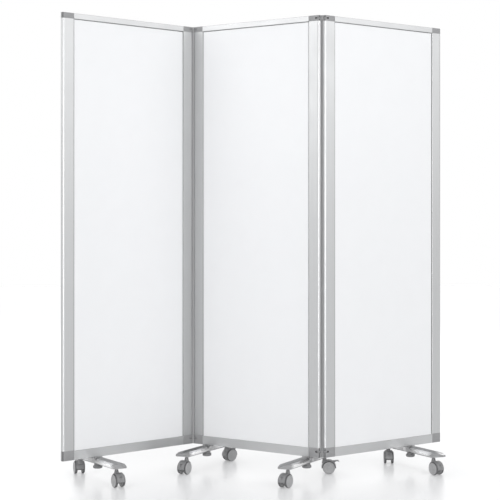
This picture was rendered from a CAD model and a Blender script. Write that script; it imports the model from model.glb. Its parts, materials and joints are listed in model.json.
"""Folding whiteboard partition on casters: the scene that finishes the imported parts.

Run as a script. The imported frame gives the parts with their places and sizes. The operators below give
them their finishes, round the edges of the castings and mouldings, turn the knobs and the wheels, add the
board seals and set up the studio with its camera.
"""

import json
import math

import bmesh
import bpy
from mathutils import Matrix, Vector


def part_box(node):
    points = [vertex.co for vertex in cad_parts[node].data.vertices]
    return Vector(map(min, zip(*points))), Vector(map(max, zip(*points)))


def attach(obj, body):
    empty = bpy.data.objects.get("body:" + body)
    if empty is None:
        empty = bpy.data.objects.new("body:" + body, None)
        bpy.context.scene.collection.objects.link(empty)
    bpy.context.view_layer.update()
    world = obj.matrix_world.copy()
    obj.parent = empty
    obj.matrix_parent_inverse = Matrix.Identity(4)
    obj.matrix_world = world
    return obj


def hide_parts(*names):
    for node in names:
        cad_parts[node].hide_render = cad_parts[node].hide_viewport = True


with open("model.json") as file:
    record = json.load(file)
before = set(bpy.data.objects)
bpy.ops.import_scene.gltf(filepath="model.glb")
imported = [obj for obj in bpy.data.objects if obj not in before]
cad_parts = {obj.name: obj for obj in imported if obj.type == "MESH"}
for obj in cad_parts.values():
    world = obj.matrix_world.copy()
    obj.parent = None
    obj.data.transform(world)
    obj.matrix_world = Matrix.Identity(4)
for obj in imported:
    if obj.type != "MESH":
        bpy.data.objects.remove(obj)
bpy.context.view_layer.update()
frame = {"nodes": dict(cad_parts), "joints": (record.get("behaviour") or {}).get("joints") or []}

bl_info = {
    "name": "Folding Whiteboard Partition",
    "version": (1, 0, 0),
    "blender": (4, 5, 0),
    "location": "View3D > Sidebar > Whiteboard",
    "description": "Finishes and detailed pieces for a folding whiteboard partition on casters",
    "category": "Object",
}

PANELS = ("left_panel", "middle_panel", "right_panel")
SIDES = ("left", "right")
# Each foot's name with the panel that it carries
FEET = {
    "left": "left_panel",
    "middle_left": "middle_panel",
    "middle_right": "middle_panel",
    "right": "right_panel",
}
CASTERS = [f"{foot}_{end}" for foot in FEET for end in ("front", "rear")]
JOINTS = {joint["name"]: joint for joint in frame["joints"]}
NODES = frame["nodes"]

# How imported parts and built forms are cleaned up, in metres and degrees
LOOSE_GAP = 1e-6
BUILT_GAP = 1e-7
FLAT_ANGLE = 0.5
BEVEL_ANGLE = 40
SHARP_ANGLE = 32


# ---------------------------------------------------------------- places


def joint_place(name):
    """Where a joint's axis stands, in the row frame."""
    return Vector(JOINTS[name]["pos_m"])


def panel_turn(panel):
    """The panel's angle about Z, read from its hinge's two pivots."""
    if panel == "middle_panel":
        return 0.0
    side = panel.split("_")[0]
    near = joint_place(f"{side}_link_turn")
    far = joint_place(f"{side}_panel_fold")
    along = near - far if side == "left" else far - near
    return 2 * math.atan2(along.y, along.x)


def panel_frame(panel):
    """A panel's own frame: X along it, -Y its front, Z up, its origin on the floor."""
    if panel == "middle_panel":
        return Matrix.Identity(4)
    side = panel.split("_")[0]
    fold = joint_place(f"{side}_panel_fold")
    reach = joint_place(f"{side}_link_turn").x
    turn = Matrix.Rotation(panel_turn(panel), 4, "Z")
    middle = Vector((fold.x, fold.y, 0)) + turn @ Vector((reach, 0, 0))
    return Matrix.Translation(middle) @ turn


def caster_frame(caster):
    """A caster's own frame: X the way it trails, Y along the axle, Z up the stem, its origin on the floor."""
    stem = joint_place(f"{caster}_caster_swivel")
    axle = joint_place(f"{caster}_caster_roll")
    turn = math.atan2(axle.y - stem.y, axle.x - stem.x)
    return Matrix.Translation((stem.x, stem.y, 0)) @ Matrix.Rotation(turn, 4, "Z")


def foot_frame(foot):
    """A foot's own frame: Y from its front stem to its rear one, Z up, its origin on the floor."""
    front = joint_place(f"{foot}_front_caster_swivel")
    rear = joint_place(f"{foot}_rear_caster_swivel")
    along = rear - front
    turn = math.atan2(-along.x, along.y)
    middle = (front + rear) / 2
    return Matrix.Translation((middle.x, middle.y, 0)) @ Matrix.Rotation(turn, 4, "Z")


# ---------------------------------------------------------------- meshes


def new_piece(name, mesh_data):
    """Links an object that holds the mesh. The mesh's own points give its place."""
    piece = bpy.data.objects.new(name, mesh_data)
    bpy.context.scene.collection.objects.link(piece)
    return piece


def applied(piece):
    """Turns a piece's modifiers into plain mesh."""
    bpy.context.view_layer.update()
    evaluated = piece.evaluated_get(bpy.context.evaluated_depsgraph_get())
    finished = bpy.data.meshes.new_from_object(evaluated)
    piece.modifiers.clear()
    piece.data = finished


def set_inputs(modifier, tree, values):
    """Sets a modifier's named inputs by their sockets' identifiers."""
    for item in tree.interface.items_tree:
        if item.item_type == "SOCKET" and item.in_out == "INPUT" and item.name in values:
            modifier[item.identifier] = values[item.name]


def shade(mesh_data, angle=SHARP_ANGLE):
    """Smooth shading that keeps the edges sharper than the angle."""
    mesh_data.shade_smooth()
    mesh_data.set_sharp_from_angle(angle=math.radians(angle))


def softened(node, name, width, segments=2):
    """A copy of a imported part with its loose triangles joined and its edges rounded."""
    form = bmesh.new()
    form.from_mesh(NODES[node].data)
    bmesh.ops.remove_doubles(form, verts=form.verts, dist=LOOSE_GAP)
    bmesh.ops.dissolve_limit(
        form, angle_limit=math.radians(FLAT_ANGLE), verts=form.verts, edges=form.edges)
    mesh_data = bpy.data.meshes.new(name)
    form.to_mesh(mesh_data)
    form.free()
    piece = new_piece(name, mesh_data)
    bevel = piece.modifiers.new("Rounded edges", "BEVEL")
    bevel.width = width
    bevel.segments = segments
    bevel.limit_method = "ANGLE"
    bevel.angle_limit = math.radians(BEVEL_ANGLE)
    applied(piece)
    shade(piece.data)
    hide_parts(node)
    return piece


def lathe(form, profile, steps):
    """Turns a profile of (radius, height) points about Z, closing it where it meets the axis."""
    rings = []
    for radius, height in profile:
        if radius < BUILT_GAP:
            rings.append([form.verts.new((0, 0, height))])
        else:
            rings.append([
                form.verts.new((radius * math.cos(a), radius * math.sin(a), height))
                for a in (2 * math.pi * k / steps for k in range(steps))
            ])
    for lower, upper in zip(rings, rings[1:]):
        for k in range(steps):
            n = (k + 1) % steps
            quad = (
                lower[k % len(lower)], lower[n % len(lower)],
                upper[n % len(upper)], upper[k % len(upper)],
            )
            corners = list(dict.fromkeys(quad))
            if len(corners) > 2:
                form.faces.new(corners)


def finished_mesh(form, name, place, angle=SHARP_ANGLE):
    """Writes a built form to a mesh in the row frame, with its faces outwards."""
    bmesh.ops.remove_doubles(form, verts=form.verts, dist=BUILT_GAP)
    bmesh.ops.recalc_face_normals(form, faces=form.faces)
    mesh_data = bpy.data.meshes.new(name)
    form.to_mesh(mesh_data)
    form.free()
    mesh_data.transform(place)
    shade(mesh_data, angle)
    return mesh_data


# ---------------------------------------------------------------- finishes


def start_finish(name):
    """An empty material with its shader, its output and the piece's own coordinates."""
    finish = bpy.data.materials.new(name)
    finish.use_nodes = True
    tree = finish.node_tree
    tree.nodes.clear()
    output = tree.nodes.new("ShaderNodeOutputMaterial")
    shader = tree.nodes.new("ShaderNodeBsdfPrincipled")
    place = tree.nodes.new("ShaderNodeTexCoord")
    tree.links.new(shader.outputs["BSDF"], output.inputs["Surface"])
    return finish, tree, shader, place.outputs["Object"]


def stretched(tree, place, turn, scale):
    """The piece's coordinates, turned about Z and then scaled along each axis."""
    mapping = tree.nodes.new("ShaderNodeMapping")
    mapping.vector_type = "POINT"
    mapping.inputs["Scale"].default_value = scale
    turned = tree.nodes.new("ShaderNodeVectorRotate")
    turned.rotation_type = "Z_AXIS"
    turned.inputs["Angle"].default_value = -turn
    tree.links.new(place, turned.inputs["Vector"])
    tree.links.new(turned.outputs["Vector"], mapping.inputs["Vector"])
    return mapping.outputs["Vector"]


def noise(tree, place, scale, detail=3.0):
    """A noise pattern's value."""
    pattern = tree.nodes.new("ShaderNodeTexNoise")
    pattern.inputs["Scale"].default_value = scale
    pattern.inputs["Detail"].default_value = detail
    tree.links.new(place, pattern.inputs["Vector"])
    return pattern.outputs["Fac"]


# The stretch of a noise pattern's value that nearly all of it lies in
PATTERN_LOW = 0.3
PATTERN_HIGH = 0.7


def spread(tree, value, low, high):
    """A pattern's value, spread between two limits."""
    limits = tree.nodes.new("ShaderNodeMapRange")
    limits.inputs["From Min"].default_value = PATTERN_LOW
    limits.inputs["From Max"].default_value = PATTERN_HIGH
    limits.inputs["To Min"].default_value = low
    limits.inputs["To Max"].default_value = high
    tree.links.new(value, limits.inputs["Value"])
    return limits.outputs["Result"]


def tinted(tree, value, dark, light):
    """A pattern's value as a colour between two tones."""
    ramp = tree.nodes.new("ShaderNodeValToRGB")
    ramp.color_ramp.elements[0].position = PATTERN_LOW
    ramp.color_ramp.elements[0].color = (*dark, 1)
    ramp.color_ramp.elements[1].position = PATTERN_HIGH
    ramp.color_ramp.elements[1].color = (*light, 1)
    tree.links.new(value, ramp.inputs["Fac"])
    return ramp.outputs["Color"]


def bumped(tree, shader, value, depth, strength):
    """Lets a pattern raise the surface by a depth in metres."""
    bump = tree.nodes.new("ShaderNodeBump")
    bump.inputs["Distance"].default_value = depth
    bump.inputs["Strength"].default_value = strength
    tree.links.new(value, bump.inputs["Height"])
    tree.links.new(bump.outputs["Normal"], shader.inputs["Normal"])


def tones(colour, contrast):
    """A darker and a lighter tone of a colour."""
    dark = tuple(max(0.0, c * (1 - contrast)) for c in colour)
    light = tuple(min(1.0, c * (1 + contrast)) for c in colour)
    return dark, light


# Where a mix node keeps its two values and its result, by the kind of data
MIX_SOCKETS = {"FLOAT": (2, 3, 0), "RGBA": (6, 7, 2)}


def mixed(tree, share, kind, first, second):
    """Mixes two values or two colours by a share."""
    mix = tree.nodes.new("ShaderNodeMix")
    mix.data_type = kind
    first_socket, second_socket, result = MIX_SOCKETS[kind]
    tree.links.new(share, mix.inputs[0])
    tree.links.new(first, mix.inputs[first_socket])
    tree.links.new(second, mix.inputs[second_socket])
    return mix.outputs[result]


def anodised_finish(name, colour, turn, grain):
    """Satin anodised aluminium with the fine lines of its extrusion. grain is the scale along each axis."""
    finish, tree, shader, place = start_finish(name)
    lines = noise(tree, stretched(tree, place, turn, grain), scale=1.0, detail=4.0)
    cloud = noise(tree, place, scale=9.0, detail=2.0)
    tree.links.new(tinted(tree, lines, *tones(colour, contrast=0.03)), shader.inputs["Base Color"])
    tree.links.new(spread(tree, cloud, low=0.38, high=0.43), shader.inputs["Roughness"])
    bumped(tree, shader, lines, depth=0.00002, strength=0.35)
    shader.inputs["Metallic"].default_value = 1.0
    return finish


def enamel_finish(name, colour):
    """White vitreous enamel on steel: even, glossy and very slightly wavy."""
    finish, tree, shader, place = start_finish(name)
    waves = noise(tree, place, scale=14.0, detail=2.0)
    specks = noise(tree, place, scale=700.0, detail=2.0)
    tree.links.new(tinted(tree, waves, *tones(colour, contrast=0.004)), shader.inputs["Base Color"])
    tree.links.new(spread(tree, specks, low=0.34, high=0.40), shader.inputs["Roughness"])
    bumped(tree, shader, waves, depth=0.00012, strength=0.2)
    shader.inputs["Coat Weight"].default_value = 0.15
    shader.inputs["Coat Roughness"].default_value = 0.18
    return finish


def moulded_finish(name, colour, roughness=0.5, grain=1400.0, uneven=0.05):
    """Moulded plastic with a fine grain and a faint flow in its colour."""
    finish, tree, shader, place = start_finish(name)
    flow = noise(tree, place, scale=60.0, detail=3.0)
    texture = noise(tree, place, scale=grain, detail=2.0)
    gloss = spread(tree, texture, low=roughness - uneven, high=roughness + uneven)
    tree.links.new(tinted(tree, flow, *tones(colour, contrast=0.035)), shader.inputs["Base Color"])
    tree.links.new(gloss, shader.inputs["Roughness"])
    bumped(tree, shader, texture, depth=0.00004, strength=0.4)
    return finish


# The measure on a casting's corners that its finish reads
DULLNESS_NAME = "dullness"


def cast_finish(name, polished, dull):
    """Silver on a die casting, polished or dull as the piece's dullness says, with a faint cast skin."""
    finish, tree, shader, place = start_finish(name)
    skin = noise(tree, place, scale=420.0, detail=3.0)
    cloud = noise(tree, place, scale=22.0, detail=3.0)
    dullness = tree.nodes.new("ShaderNodeAttribute")
    dullness.attribute_name = DULLNESS_NAME
    share = dullness.outputs["Fac"]
    colour = mixed(
        tree, share, "RGBA",
        tinted(tree, cloud, *tones(polished, contrast=0.05)),
        tinted(tree, cloud, *tones(dull, contrast=0.10)))
    gloss = mixed(
        tree, share, "FLOAT",
        spread(tree, skin, low=0.12, high=0.18),
        spread(tree, skin, low=0.28, high=0.38))
    tree.links.new(colour, shader.inputs["Base Color"])
    tree.links.new(gloss, shader.inputs["Roughness"])
    bumped(tree, shader, skin, depth=0.00005, strength=0.3)
    shader.inputs["Metallic"].default_value = 1.0
    return finish


def steel_finish(name, colour):
    """Plain turned steel with fine rings."""
    finish, tree, shader, place = start_finish(name)
    turning = stretched(tree, place, turn=0.0, scale=(40.0, 40.0, 2500.0))
    rings = noise(tree, turning, scale=1.0, detail=2.0)
    tree.links.new(tinted(tree, rings, *tones(colour, contrast=0.06)), shader.inputs["Base Color"])
    tree.links.new(spread(tree, rings, low=0.25, high=0.36), shader.inputs["Roughness"])
    shader.inputs["Metallic"].default_value = 1.0
    return finish


def paper_finish(name, colour):
    """Raw honeycomb board, which only shows where the frame is open."""
    finish, tree, shader, place = start_finish(name)
    layers = stretched(tree, place, turn=0.0, scale=(90.0, 90.0, 600.0))
    fibres = noise(tree, layers, scale=1.0, detail=4.0)
    tree.links.new(tinted(tree, fibres, *tones(colour, contrast=0.12)), shader.inputs["Base Color"])
    tree.links.new(spread(tree, fibres, low=0.8, high=0.95), shader.inputs["Roughness"])
    bumped(tree, shader, fibres, depth=0.0002, strength=0.5)
    return finish


def wear(piece, finish):
    """Gives a piece its finish and names the record's slot that it stands for."""
    piece.data.materials.clear()
    piece.data.materials.append(finish)


def dress(node, finish):
    """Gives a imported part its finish."""
    NODES[node].data.materials.clear()
    NODES[node].data.materials.append(finish)


# ---------------------------------------------------------------- settings


def colour_setting(name, description, default):
    return bpy.props.FloatVectorProperty(
        name=name, description=description, subtype="COLOR", size=3, min=0, max=1, default=default)


def length_setting(name, description, default):
    return bpy.props.FloatProperty(
        name=name, description=description, subtype="DISTANCE", unit="LENGTH", min=0.0, default=default)


class WhiteboardColours(bpy.types.PropertyGroup):
    """The colours of the partition's finishes"""

    aluminium: colour_setting("Aluminium", "Satin anodised stiles and rails", (0.50, 0.505, 0.51))
    enamel: colour_setting("Enamel", "The white writing faces", (0.90, 0.905, 0.915))
    caps: colour_setting("Caps and links", "Moulded corner caps and hinge links", (0.32, 0.32, 0.325))
    strip: colour_setting("Seal strip", "The strip between two panels", (0.40, 0.40, 0.405))
    seal: colour_setting("Board seals", "The thin dark beads round the boards", (0.07, 0.07, 0.072))
    core: colour_setting("Core", "The honeycomb board inside a panel", (0.42, 0.30, 0.18))
    casting: colour_setting("Feet", "The polished sides of the silver castings", (0.85, 0.85, 0.855))
    casting_top: colour_setting(
        "Feet, top", "The dull tops, noses and necks of the silver castings", (0.27, 0.27, 0.275))
    knobs: colour_setting("Knobs", "The clamp knobs under the feet", (0.25, 0.25, 0.255))
    shadow: colour_setting("Dark plastic", "The insides of the caps' link slots", (0.03, 0.03, 0.032))
    hoods: colour_setting("Caster hoods", "The swivelling hoods and brake levers", (0.26, 0.26, 0.265))
    wheels: colour_setting("Wheels", "The faces of the twin wheels", (0.41, 0.41, 0.415))
    treads: colour_setting("Treads", "The treads of the wheels", (0.14, 0.14, 0.144))
    steel: colour_setting("Steel", "Stems and pins", (0.20, 0.20, 0.205))


class WhiteboardSizes(bpy.types.PropertyGroup):
    """The sizes of the details that the scene adds"""

    seal_bead: length_setting("Seal bead", "Thickness of the beads round the boards", 0.0022)
    cap_edge: length_setting("Cap edge", "Rounding of the caps' edges", 0.0009)
    link_edge: length_setting("Link edge", "Rounding of the hinge links' edges", 0.0006)
    foot_edge: length_setting("Foot edge", "Rounding of the castings' edges", 0.0015)
    hood_edge: length_setting("Hood edge", "Rounding of the caster hoods' edges", 0.0007)
    lever_edge: length_setting("Lever edge", "Rounding of the brake levers' edges", 0.0006)
    knob_ridge: length_setting("Knob ridge", "Height of the ridges round a knob's grip", 0.0009)
    knob_ridges: bpy.props.IntProperty(
        name="Knob ridges", description="How many ridges a knob's grip has", min=8, max=48, default=24)


class WhiteboardStudio(bpy.types.PropertyGroup):
    """The light, the floor and the view"""

    key_power: bpy.props.FloatProperty(
        name="Lamp power", description="Power that each lamp has its share of", subtype="POWER",
        unit="POWER", min=0.0, default=57.0)
    floor_colour: colour_setting("Floor", "Colour of the floor and the backdrop", (0.74, 0.74, 0.743))
    focal_length: bpy.props.FloatProperty(
        name="Focal length", description="The camera's focal length in millimetres", min=10.0, default=87.76)
    eye: bpy.props.FloatVectorProperty(
        name="Camera place", description="Where the camera stands", subtype="TRANSLATION", unit="LENGTH",
        size=3, default=(2.6766, -4.1516, 1.034))


def colours():
    return bpy.context.scene.whiteboard_colours


def sizes():
    return bpy.context.scene.whiteboard_sizes


def studio():
    return bpy.context.scene.whiteboard_studio


# ---------------------------------------------------------------- panels


# The scale of an extrusion's fine lines: long along it and close together across it
GRAIN_ALONG = 5.0
GRAIN_ACROSS = 900.0


class WHITEBOARD_OT_frames(bpy.types.Operator):
    """Gives the stiles and rails their satin anodised finish, with the grain along each extrusion"""

    bl_idname = "whiteboard.frames"
    bl_label = "Finish the frames"

    def execute(self, context):
        silver = tuple(colours().aluminium)
        along_z = (GRAIN_ACROSS, GRAIN_ACROSS, GRAIN_ALONG)
        along_x = (GRAIN_ALONG, GRAIN_ACROSS, GRAIN_ACROSS)
        upright = anodised_finish("Anodised stile", silver, 0.0, along_z)
        for panel in PANELS:
            level = anodised_finish(f"Anodised rail {panel}", silver, panel_turn(panel), along_x)
            for side in SIDES:
                dress(f"{panel}_{side}_stile", upright)
            for edge in ("top", "bottom"):
                dress(f"{panel}_{edge}_rail", level)
        return {"FINISHED"}


class WHITEBOARD_OT_boards(bpy.types.Operator):
    """Gives the writing faces their white enamel and the cores their raw board"""

    bl_idname = "whiteboard.boards"
    bl_label = "Finish the boards"

    def execute(self, context):
        enamel = enamel_finish("White enamel", tuple(colours().enamel))
        raw = paper_finish("Honeycomb board", tuple(colours().core))
        for panel in PANELS:
            dress(f"{panel}_front_sheet", enamel)
            dress(f"{panel}_back_sheet", enamel)
            dress(f"{panel}_core", raw)
        return {"FINISHED"}


SEAL_SIDES = 10
# How far a bead's middle stands from the board's face, as a share of its radius
SEAL_STAND = 0.8
SEAL_SHARP_ANGLE = 50


def seal_tree(finish):
    """Geometry nodes that run a round bead along a path of edges."""
    tree = bpy.data.node_groups.new("Board seal", "GeometryNodeTree")
    face = tree.interface
    face.new_socket(name="Geometry", in_out="INPUT", socket_type="NodeSocketGeometry")
    face.new_socket(name="Bead radius", in_out="INPUT", socket_type="NodeSocketFloat")
    face.new_socket(name="Geometry", in_out="OUTPUT", socket_type="NodeSocketGeometry")
    nodes, links = tree.nodes, tree.links
    given = nodes.new("NodeGroupInput")
    made = nodes.new("NodeGroupOutput")
    path = nodes.new("GeometryNodeMeshToCurve")
    links.new(given.outputs["Geometry"], path.inputs["Mesh"])
    section = nodes.new("GeometryNodeCurvePrimitiveCircle")
    section.inputs["Resolution"].default_value = SEAL_SIDES
    links.new(given.outputs["Bead radius"], section.inputs["Radius"])
    bead = nodes.new("GeometryNodeCurveToMesh")
    links.new(path.outputs["Curve"], bead.inputs["Curve"])
    links.new(section.outputs["Curve"], bead.inputs["Profile Curve"])
    bead.inputs["Fill Caps"].default_value = True
    real = nodes.new("GeometryNodeRealizeInstances")
    links.new(bead.outputs["Mesh"], real.inputs["Geometry"])
    coloured = nodes.new("GeometryNodeSetMaterial")
    coloured.inputs["Material"].default_value = finish
    links.new(real.outputs["Geometry"], coloured.inputs["Geometry"])
    links.new(coloured.outputs["Geometry"], made.inputs["Geometry"])
    return tree


class WHITEBOARD_OT_seals(bpy.types.Operator):
    """Runs a thin dark bead up both sides and along the top of each board, in the corner under the lips"""

    bl_idname = "whiteboard.seals"
    bl_label = "Run the board seals"

    def execute(self, context):
        dark = moulded_finish("Seal rubber", tuple(colours().seal), roughness=0.6, grain=2200.0)
        tree = seal_tree(dark)
        radius = sizes().seal_bead / 2
        edge_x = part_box("middle_panel_top_rail")[1][0] - radius
        face_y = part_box("middle_panel_back_sheet")[1][1] + radius * SEAL_STAND
        low_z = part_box("middle_panel_bottom_rail")[1][2]
        high_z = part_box("middle_panel_top_rail")[0][2] - radius
        for panel in PANELS:
            form = bmesh.new()
            for y in (-face_y, face_y):
                corners = [form.verts.new((x, y, z)) for x, z in (
                    (-edge_x, low_z), (-edge_x, high_z), (edge_x, high_z), (edge_x, low_z))]
                for start, end in zip(corners, corners[1:]):
                    form.edges.new((start, end))
            mesh_data = bpy.data.meshes.new(f"{panel}_board_seals")
            form.to_mesh(mesh_data)
            form.free()
            seals = new_piece(f"{panel}_board_seals", mesh_data)
            beads = seals.modifiers.new("Bead", "NODES")
            beads.node_group = tree
            set_inputs(beads, tree, {"Bead radius": radius})
            applied(seals)
            seals.data.transform(panel_frame(panel))
            shade(seals.data, SEAL_SHARP_ANGLE)
            wear(seals, dark)
            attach(seals, panel)
        return {"FINISHED"}


# A cap's face that lies deeper than this under the caps' outer faces is inside a slot, in metres
SLOT_DEPTH = 0.002


class WHITEBOARD_OT_caps(bpy.types.Operator):
    """Moulds the corner caps with rounded edges"""

    bl_idname = "whiteboard.caps"
    bl_label = "Mould the corner caps"

    def execute(self, context):
        grey = moulded_finish("Cap plastic", tuple(colours().caps))
        dark = moulded_finish("Slot shadow", tuple(colours().shadow), roughness=0.7)
        for panel in PANELS:
            caps = softened(f"{panel}_corner_caps", f"{panel}_moulded_caps", sizes().cap_edge)
            wear(caps, grey)
            self.darken_slots(caps, panel, dark)
            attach(caps, panel)
        return {"FINISHED"}

    def darken_slots(self, caps, panel, dark):
        """Gives the walls inside the caps' link slots a dark finish."""
        caps.data.materials.append(dark)
        turned = panel_frame(panel).inverted()
        places = [turned @ v.co for v in caps.data.vertices]
        wide, deep = (max(abs(p[axis]) for p in places) for axis in (0, 1))
        low, high = min(p.z for p in places), max(p.z for p in places)
        for face in caps.data.polygons:
            middle = turned @ face.center
            inside = min(wide - abs(middle.x), deep - abs(middle.y), middle.z - low, high - middle.z)
            if inside > SLOT_DEPTH:
                face.material_index = 1


class WHITEBOARD_OT_hinges(bpy.types.Operator):
    """Rounds the hinge links and finishes the pins and the seal strips"""

    bl_idname = "whiteboard.hinges"
    bl_label = "Finish the hinges"

    def execute(self, context):
        grey = moulded_finish("Link plastic", tuple(colours().caps))
        bright = steel_finish("Pin steel", tuple(colours().steel))
        dark = moulded_finish("Seal strip", tuple(colours().strip), roughness=0.65, grain=2200.0)
        for side in SIDES:
            links = softened(f"{side}_hinge_links", f"{side}_rounded_links", sizes().link_edge)
            wear(links, grey)
            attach(links, f"{side}_link")
            dress(f"{side}_hinge_pins", bright)
            dress(f"{side}_hinge_strip", dark)
        return {"FINISHED"}


# ---------------------------------------------------------------- feet


FOOT_EDGE_STEPS = 3
# How dull a foot's sides are, as (share of the way from the neck to the tip, dullness)
DULLNESS = (
    (0.0, 0.8), (0.12, 0.75), (0.28, 0.4), (0.42, 0.05),
    (0.62, 0.0), (0.70, 0.4), (0.76, 0.85), (1.0, 0.9),
)
# A face whose normal's height is over the first or under the second is a top or an underside
TOP_NORMAL = 0.85
UNDER_NORMAL = -0.15
FLAT_DULLNESS = 0.95


class WHITEBOARD_OT_feet(bpy.types.Operator):
    """Gives the cross feet rounded edges and their silver finish, and finishes the stems"""

    bl_idname = "whiteboard.feet"
    bl_label = "Cast the feet"

    def execute(self, context):
        silver = cast_finish("Cast silver", tuple(colours().casting), tuple(colours().casting_top))
        bright = steel_finish("Stem steel", tuple(colours().steel))
        for foot, panel in FEET.items():
            casting = softened(f"{foot}_foot", f"{foot}_casting", sizes().foot_edge, FOOT_EDGE_STEPS)
            self.mark_dullness(casting, foot)
            wear(casting, silver)
            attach(casting, panel)
        for panel in PANELS:
            dress(f"{panel}_caster_stems", bright)
        return {"FINISHED"}

    def mark_dullness(self, casting, foot):
        """Stores how dull a foot is: along its top, at its noses and by its neck, between polished sides."""
        place = foot_frame(foot)
        turned = place.inverted()
        form = bmesh.new()
        form.from_mesh(casting.data)
        reach = max(abs((turned @ v.co).y) for v in form.verts)
        for along, _ in DULLNESS[:-1]:
            for side in (-1, 1):
                bmesh.ops.bisect_plane(
                    form, geom=list(form.verts) + list(form.edges) + list(form.faces),
                    plane_co=place @ Vector((0, side * along * reach, 0)),
                    plane_no=place.to_3x3() @ Vector((0, 1, 0)))
        layer = form.loops.layers.float.new(DULLNESS_NAME)
        for face in form.faces:
            flat = face.normal.z > TOP_NORMAL or face.normal.z < UNDER_NORMAL
            for loop in face.loops:
                along = abs((turned @ loop.vert.co).y) / reach
                loop[layer] = FLAT_DULLNESS if flat else self.dullness(along)
        form.to_mesh(casting.data)
        form.free()
        shade(casting.data)

    def dullness(self, along):
        """Reads the dullness at a share of the way from the neck to the tip."""
        for (start, low), (end, high) in zip(DULLNESS, DULLNESS[1:]):
            if along <= end:
                return low + (high - low) * (along - start) / (end - start)
        return DULLNESS[-1][1]


KNOB_STEPS = 64
KNOB_SHARP_ANGLE = 35
# A knob's grip takes this share of the height under the foot, and its neck this share of the radius
GRIP_SHARE = 0.56
NECK_SHARE = 0.76
# The gap between the neck and the foot, and the stud with its chamfered tip, in metres
NECK_GAP = 0.0001
STUD_RADIUS = 0.0039
STUD_CHAMFER = 0.0006
STUD_TIP = 0.0004
# Outlines as (share of the radius, metres): up from the underside, down from the grip's top, up from the
# grip's top, and down from the foot
GRIP_FOOT = ((0, 0.0012), (0.62, 0.0012), (0.68, 0.0002), (0.9, 0.0002), (0.97, 0.0010), (1, 0.0024))
GRIP_HEAD = ((1, 0.0020), (0.97, 0.0008), (0.9, 0))
NECK_FOOT = ((1.04, 0), (1, 0.0008))
NECK_HEAD = ((1, 0.0006), (0.97, NECK_GAP))
# How far a ridge's middle lies inside the grip and its radius, as shares of its height over the grip
RIDGE_SIDES = 8
RIDGE_SUNK = 0.15
RIDGE_GIRTH = 1.1
# How much shorter than the grip a ridge is, in metres
RIDGE_FREE = 0.0046


def ridge_tree(finish):
    """Geometry nodes that stand ridges round a knob's grip and join them to it."""
    tree = bpy.data.node_groups.new("Knob ridges", "GeometryNodeTree")
    face = tree.interface
    face.new_socket(name="Geometry", in_out="INPUT", socket_type="NodeSocketGeometry")
    for label, kind in (("Ridges", "NodeSocketInt"), ("Ring radius", "NodeSocketFloat"),
                        ("Ridge radius", "NodeSocketFloat"), ("Ridge height", "NodeSocketFloat"),
                        ("Middle height", "NodeSocketFloat")):
        face.new_socket(name=label, in_out="INPUT", socket_type=kind)
    face.new_socket(name="Geometry", in_out="OUTPUT", socket_type="NodeSocketGeometry")
    nodes, links = tree.nodes, tree.links
    given = nodes.new("NodeGroupInput")
    made = nodes.new("NodeGroupOutput")
    ring = nodes.new("GeometryNodeMeshCircle")
    links.new(given.outputs["Ridges"], ring.inputs["Vertices"])
    links.new(given.outputs["Ring radius"], ring.inputs["Radius"])
    lift = nodes.new("ShaderNodeCombineXYZ")
    links.new(given.outputs["Middle height"], lift.inputs["Z"])
    raised = nodes.new("GeometryNodeTransform")
    links.new(ring.outputs["Mesh"], raised.inputs["Geometry"])
    links.new(lift.outputs["Vector"], raised.inputs["Translation"])
    ridge = nodes.new("GeometryNodeMeshCylinder")
    ridge.inputs["Vertices"].default_value = RIDGE_SIDES
    links.new(given.outputs["Ridge radius"], ridge.inputs["Radius"])
    links.new(given.outputs["Ridge height"], ridge.inputs["Depth"])
    copies = nodes.new("GeometryNodeInstanceOnPoints")
    links.new(raised.outputs["Geometry"], copies.inputs["Points"])
    links.new(ridge.outputs["Mesh"], copies.inputs["Instance"])
    joined = nodes.new("GeometryNodeJoinGeometry")
    links.new(given.outputs["Geometry"], joined.inputs["Geometry"])
    links.new(copies.outputs["Instances"], joined.inputs["Geometry"])
    real = nodes.new("GeometryNodeRealizeInstances")
    links.new(joined.outputs["Geometry"], real.inputs["Geometry"])
    coloured = nodes.new("GeometryNodeSetMaterial")
    coloured.inputs["Material"].default_value = finish
    links.new(real.outputs["Geometry"], coloured.inputs["Geometry"])
    links.new(coloured.outputs["Geometry"], made.inputs["Geometry"])
    return tree


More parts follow.
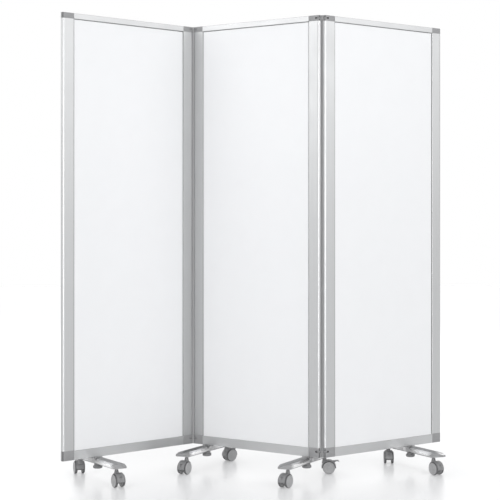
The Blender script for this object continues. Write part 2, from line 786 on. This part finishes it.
class WHITEBOARD_OT_knobs(bpy.types.Operator):
    """Turns the clamp knobs with a dished underside and stands ridges round their grips"""

    bl_idname = "whiteboard.knobs"
    bl_label = "Turn the clamp knobs"

    def execute(self, context):
        grey = moulded_finish("Knob plastic", tuple(colours().knobs), roughness=0.45)
        tree = ridge_tree(grey)
        for panel in PANELS:
            node = f"{panel}_foot_knobs"
            feet = [foot for foot, owner in FEET.items() if owner == panel]
            low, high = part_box(node)
            radius = min(high[0] - low[0], high[1] - low[1]) / 2
            parts = []
            for foot in feet:
                bottom, under = low[2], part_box(f"{foot}_foot")[0][2]
                parts.append(self.knob(foot, radius, bottom, under, high[2], tree))
            whole = bmesh.new()
            for part in parts:
                whole.from_mesh(part.data)
                bpy.data.objects.remove(part)
            mesh_data = bpy.data.meshes.new(f"{panel}_turned_knobs")
            whole.to_mesh(mesh_data)
            whole.free()
            shade(mesh_data, KNOB_SHARP_ANGLE)
            knobs = new_piece(f"{panel}_turned_knobs", mesh_data)
            wear(knobs, grey)
            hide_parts(node)
            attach(knobs, panel)
        return {"FINISHED"}

    def knob(self, foot, radius, bottom, under, top, tree):
        """Builds one knob with its stud, from its underside up to the stud's tip."""
        ridge = sizes().knob_ridge
        grip = radius - ridge
        grip_top = bottom + (under - bottom) * GRIP_SHARE
        neck = radius * NECK_SHARE
        form = bmesh.new()
        lathe(form, [
            *((grip * share, bottom + up) for share, up in GRIP_FOOT),
            *((grip * share, grip_top - down) for share, down in GRIP_HEAD),
            *((neck * share, grip_top + up) for share, up in NECK_FOOT),
            *((neck * share, under - down) for share, down in NECK_HEAD),
            (STUD_RADIUS, under - NECK_GAP), (STUD_RADIUS, top - STUD_TIP),
            (STUD_RADIUS - STUD_CHAMFER, top), (0, top),
        ], KNOB_STEPS)
        mesh_data = finished_mesh(form, f"{foot}_knob_blank", Matrix.Identity(4))
        blank = new_piece(f"{foot}_knob_blank", mesh_data)
        ridges = blank.modifiers.new("Ridges", "NODES")
        ridges.node_group = tree
        set_inputs(ridges, tree, {
            "Ridges": sizes().knob_ridges,
            "Ring radius": grip - ridge * RIDGE_SUNK,
            "Ridge radius": ridge * RIDGE_GIRTH,
            "Ridge height": grip_top - bottom - RIDGE_FREE,
            "Middle height": (grip_top + bottom) / 2,
        })
        applied(blank)
        blank.data.transform(foot_frame(foot))
        return blank


# ---------------------------------------------------------------- casters


class WHITEBOARD_OT_hoods(bpy.types.Operator):
    """Rounds the edges of the caster hoods and the brake levers and finishes them"""

    bl_idname = "whiteboard.hoods"
    bl_label = "Mould the caster hoods"

    def execute(self, context):
        grey = moulded_finish("Hood plastic", tuple(colours().hoods), roughness=0.42)
        for caster in CASTERS:
            hood = softened(f"{caster}_caster_hood", f"{caster}_moulded_hood", sizes().hood_edge)
            wear(hood, grey)
            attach(hood, f"{caster}_caster")
            if f"{caster}_brake_lever" in NODES:
                lever = softened(f"{caster}_brake_lever", f"{caster}_moulded_lever", sizes().lever_edge)
                wear(lever, grey)
                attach(lever, f"{caster}_brake")
        return {"FINISHED"}


WHEEL_STEPS = 72
WHEEL_SHARP_ANGLE = 30
AXLE_RADIUS = 0.0030
# A wheel's stepped outer face with its hub, as (share of the radius, metres in from that face)
WHEEL_FACE = (
    (0, 0.0002), (0.20, 0.0002), (0.25, 0.0007), (0.29, 0.0016), (0.50, 0.0014), (0.52, 0.0010),
    (0.54, 0.0014), (0.72, 0.0014), (0.77, 0.0009), (0.80, 0.0001), (0.90, 0), (0.95, 0.0006),
    (0.985, 0.0020), (1, 0.0040),
)
# Its inner face, as (share of the radius, metres out from that face)
WHEEL_BACK = ((1, 0.0016), (0.985, 0.0005), (0.95, 0), (0.35, 0))
# The tread starts at this share of the radius
TREAD_SHARE = 0.93
# Points this share of the radius over or under the axle are the wheels', clear of the axle between them
CLEAR_SHARE = 0.7


class WHITEBOARD_OT_wheels(bpy.types.Operator):
    """Turns the twin wheels with a soft tread, a dished face and a hub cap, on their axle"""

    bl_idname = "whiteboard.wheels"
    bl_label = "Turn the wheels"

    def execute(self, context):
        grey = moulded_finish("Wheel plastic", tuple(colours().wheels), roughness=0.34)
        dark = moulded_finish("Tread rubber", tuple(colours().treads), roughness=0.55)
        radius = JOINTS[f"{CASTERS[0]}_caster_roll"]["pos_m"][2]
        outer, inner = self.reach(CASTERS[0])
        profile = [
            *((radius * share, outer - depth) for share, depth in WHEEL_FACE),
            *((radius * share, inner + depth) for share, depth in WHEEL_BACK),
            (AXLE_RADIUS, inner), (AXLE_RADIUS, 0),
        ]
        for caster in CASTERS:
            form = bmesh.new()
            lathe(form, profile, WHEEL_STEPS)
            bmesh.ops.recalc_face_normals(form, faces=form.faces)
            half = list(form.faces)
            twin = bmesh.ops.duplicate(form, geom=list(form.verts) + list(form.edges) + half)
            mirrored = [item for item in twin["geom"] if isinstance(item, bmesh.types.BMVert)]
            bmesh.ops.scale(form, vec=(1, 1, -1), verts=mirrored)
            axle = caster_frame(caster) @ Matrix.Translation(self.axle_place(caster))
            place = axle @ Matrix.Rotation(math.radians(-90), 4, "X")
            mesh_data = finished_mesh(form, f"{caster}_turned_wheels", place, WHEEL_SHARP_ANGLE)
            wheels = new_piece(f"{caster}_turned_wheels", mesh_data)
            wear(wheels, grey)
            self.darken_treads(wheels, place, radius, dark)
            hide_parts(f"{caster}_caster_wheels")
            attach(wheels, f"{caster}_caster_wheel_pair")
        return {"FINISHED"}

    def darken_treads(self, wheels, place, radius, dark):
        """Gives the faces near the wheels' rims the tread's finish."""
        wheels.data.materials.append(dark)
        turned = place.inverted()
        for face in wheels.data.polygons:
            middle = turned @ face.center
            if math.hypot(middle.x, middle.y) > radius * TREAD_SHARE:
                face.material_index = 1

    def axle_place(self, caster):
        """Where the axle lies in the caster's own frame."""
        stem = joint_place(f"{caster}_caster_swivel")
        axle = joint_place(f"{caster}_caster_roll")
        return Vector(((axle.xy - stem.xy).length, 0, axle.z))

    def reach(self, caster):
        """How far the wheels' outer and inner faces stand from the caster's middle plane."""
        turned = caster_frame(caster).inverted()
        radius = JOINTS[f"{caster}_caster_roll"]["pos_m"][2]
        places = [turned @ v.co for v in NODES[f"{caster}_caster_wheels"].data.vertices]
        clear = [p for p in places if abs(p.z - radius) > radius * CLEAR_SHARE]
        return max(abs(p.y) for p in places), min(abs(p.y) for p in clear)


# ---------------------------------------------------------------- studio


SENSOR_WIDTH = 36.0
VIEW_SHIFT = (-0.0934, -0.0642)
VIEW_AHEAD = Vector((-0.5132, 0.8582, 0.0))
VIEW_END = 100.0

# The floor's rings in metres, and its glow, which rises from near to far with the distance from the middle
FLOOR_RINGS = (0, 1.5, 4, 9, 14)
FLOOR_STEPS = 64
FLOOR_ROUGHNESS = 0.22
GLOW = {"From Min": 0.8, "From Max": 1.3, "To Min": 0.215, "To Max": 0.29}

# What lights the object from all round, and the white that the camera and the gloss see
ROOM_COLOUR = (0.975, 0.985, 1.0, 1)
ROOM_LEVEL = 0.59
WHITE = (1, 1, 1, 1)
SEEN_LEVEL = 1.0

# Where the lamps point
AIM = Vector((0, 0, 0.9))
# Each lamp's name, turn about Z and rise in degrees, distance, width and height in metres, share of power
LAMPS = (
    ("Key light", -25, 22, 6.0, 1.4, 2.4, 0.7),
    ("Side light", 10, 22, 6.0, 2.4, 3.2, 0.6),
    ("Front light", -123, 22, 6.0, 2.4, 3.2, 0.9),
    ("Strip light", -56, 7, 7.0, 0.7, 3.4, 1.2),
    ("Back light", 100, 26, 6.0, 2.6, 2.6, 0.9),
    ("Wide light", -62, 2, 9.0, 5.4, 1.2, 1.25),
    ("Rear light", 150, 24, 6.5, 3.0, 3.0, 1.3),
)


class WHITEBOARD_OT_studio(bpy.types.Operator):
    """Lays the pale floor, lights the room softly and sets up the camera"""

    bl_idname = "whiteboard.studio"
    bl_label = "Set up the studio"

    def execute(self, context):
        self.camera(context)
        self.floor()
        self.world(context)
        self.lamps(context)
        context.scene.view_settings.view_transform = "Standard"
        return {"FINISHED"}

    def camera(self, context):
        """Stands the camera level, with its view shifted on to the object."""
        data = bpy.data.cameras.new("Camera")
        data.sensor_width = SENSOR_WIDTH
        data.lens = studio().focal_length
        data.shift_x, data.shift_y = VIEW_SHIFT
        data.clip_end = VIEW_END
        eye = bpy.data.objects.new("Camera", data)
        context.scene.collection.objects.link(eye)
        eye.location = studio().eye
        eye.rotation_mode = "QUATERNION"
        eye.rotation_quaternion = VIEW_AHEAD.to_track_quat("-Z", "Y")
        context.scene.camera = eye

    def floor(self):
        """Lays a round floor that takes shadows and glows enough to look white."""
        form = bmesh.new()
        lathe(form, [(ring, 0) for ring in FLOOR_RINGS], FLOOR_STEPS)
        mesh_data = bpy.data.meshes.new("Studio floor")
        form.normal_update()
        if next(iter(form.faces)).normal.z < 0:
            bmesh.ops.reverse_faces(form, faces=form.faces)
        form.to_mesh(mesh_data)
        form.free()
        ground = new_piece("Studio floor", mesh_data)
        finish = bpy.data.materials.new("Studio floor")
        finish.use_nodes = True
        tree = finish.node_tree
        tree.nodes.clear()
        output = tree.nodes.new("ShaderNodeOutputMaterial")
        matt = tree.nodes.new("ShaderNodeBsdfPrincipled")
        matt.inputs["Base Color"].default_value = (*studio().floor_colour, 1)
        matt.inputs["Roughness"].default_value = FLOOR_ROUGHNESS
        white = tree.nodes.new("ShaderNodeEmission")
        white.inputs["Color"].default_value = WHITE
        seen = self.seen_rays(tree)
        place = tree.nodes.new("ShaderNodeTexCoord")
        away = tree.nodes.new("ShaderNodeVectorMath")
        away.operation = "LENGTH"
        tree.links.new(place.outputs["Object"], away.inputs[0])
        level = tree.nodes.new("ShaderNodeMapRange")
        level.interpolation_type = "SMOOTHSTEP"
        for name, number in GLOW.items():
            level.inputs[name].default_value = number
        tree.links.new(away.outputs["Value"], level.inputs["Value"])
        glow = tree.nodes.new("ShaderNodeMath")
        glow.operation = "MULTIPLY"
        tree.links.new(level.outputs[0], glow.inputs[1])
        tree.links.new(seen, glow.inputs[0])
        tree.links.new(glow.outputs[0], white.inputs["Strength"])
        both = tree.nodes.new("ShaderNodeAddShader")
        tree.links.new(matt.outputs[0], both.inputs[0])
        tree.links.new(white.outputs[0], both.inputs[1])
        tree.links.new(both.outputs[0], output.inputs["Surface"])
        ground.data.materials.append(finish)

    def seen_rays(self, tree):
        """1 on rays from the camera and on those that gloss and glass pass on, else 0."""
        rays = tree.nodes.new("ShaderNodeLightPath")
        some = tree.nodes.new("ShaderNodeMath")
        some.operation = "MAXIMUM"
        tree.links.new(rays.outputs["Is Camera Ray"], some.inputs[0])
        tree.links.new(rays.outputs["Is Glossy Ray"], some.inputs[1])
        all_seen = tree.nodes.new("ShaderNodeMath")
        all_seen.operation = "MAXIMUM"
        tree.links.new(some.outputs[0], all_seen.inputs[0])
        tree.links.new(rays.outputs["Is Transmission Ray"], all_seen.inputs[1])
        return all_seen.outputs[0]

    def world(self, context):
        """Lights the object evenly and shows white to the camera and in reflections."""
        room = bpy.data.worlds.new("Studio")
        room.use_nodes = True
        context.scene.world = room
        tree = room.node_tree
        tree.nodes.clear()
        output = tree.nodes.new("ShaderNodeOutputWorld")
        light = tree.nodes.new("ShaderNodeBackground")
        light.inputs["Color"].default_value = ROOM_COLOUR
        light.inputs["Strength"].default_value = ROOM_LEVEL
        white = tree.nodes.new("ShaderNodeBackground")
        white.inputs["Color"].default_value = WHITE
        white.inputs["Strength"].default_value = SEEN_LEVEL
        chosen = tree.nodes.new("ShaderNodeMixShader")
        tree.links.new(self.seen_rays(tree), chosen.inputs["Fac"])
        tree.links.new(light.outputs[0], chosen.inputs[1])
        tree.links.new(white.outputs[0], chosen.inputs[2])
        tree.links.new(chosen.outputs[0], output.inputs["Surface"])

    def lamps(self, context):
        """Stands the soft lamps round the object, turned to its middle."""
        power = studio().key_power
        for name, turn, rise, away, width, height, share in LAMPS:
            level = away * math.cos(math.radians(rise))
            place = Vector((
                level * math.cos(math.radians(turn)), level * math.sin(math.radians(turn)),
                AIM.z + away * math.sin(math.radians(rise))))
            data = bpy.data.lights.new(name, "AREA")
            data.shape = "RECTANGLE"
            data.size = width
            data.size_y = height
            data.energy = power * share
            lamp = bpy.data.objects.new(name, data)
            context.scene.collection.objects.link(lamp)
            lamp.location = place
            lamp.rotation_mode = "QUATERNION"
            lamp.rotation_quaternion = (AIM - place).to_track_quat("-Z", "Y")


class VIEW3D_PT_whiteboard(bpy.types.Panel):
    """The partition's settings and steps, in the 3D view's sidebar"""

    bl_idname = "VIEW3D_PT_whiteboard"
    bl_label = "Whiteboard"
    bl_space_type = "VIEW_3D"
    bl_region_type = "UI"
    bl_category = "Whiteboard"

    def draw(self, context):
        layout = self.layout
        for group in (colours(), sizes(), studio()):
            box = layout.box()
            for key in group.__annotations__:
                box.prop(group, key)
        for step in STEPS:
            layout.operator(step.bl_idname)


STEPS = (
    WHITEBOARD_OT_frames,
    WHITEBOARD_OT_boards,
    WHITEBOARD_OT_seals,
    WHITEBOARD_OT_caps,
    WHITEBOARD_OT_hinges,
    WHITEBOARD_OT_feet,
    WHITEBOARD_OT_knobs,
    WHITEBOARD_OT_hoods,
    WHITEBOARD_OT_wheels,
    WHITEBOARD_OT_studio,
)
CLASSES = (WhiteboardColours, WhiteboardSizes, WhiteboardStudio, *STEPS, VIEW3D_PT_whiteboard)


def register():
    for cls in CLASSES:
        bpy.utils.register_class(cls)
    bpy.types.Scene.whiteboard_colours = bpy.props.PointerProperty(type=WhiteboardColours)
    bpy.types.Scene.whiteboard_sizes = bpy.props.PointerProperty(type=WhiteboardSizes)
    bpy.types.Scene.whiteboard_studio = bpy.props.PointerProperty(type=WhiteboardStudio)


def unregister():
    del bpy.types.Scene.whiteboard_studio
    del bpy.types.Scene.whiteboard_sizes
    del bpy.types.Scene.whiteboard_colours
    for cls in reversed(CLASSES):
        bpy.utils.unregister_class(cls)


def main():
    register()
    for step in STEPS:
        family, action = step.bl_idname.split(".")
        getattr(getattr(bpy.ops, family), action)()


if __name__ == "__main__":
    main()
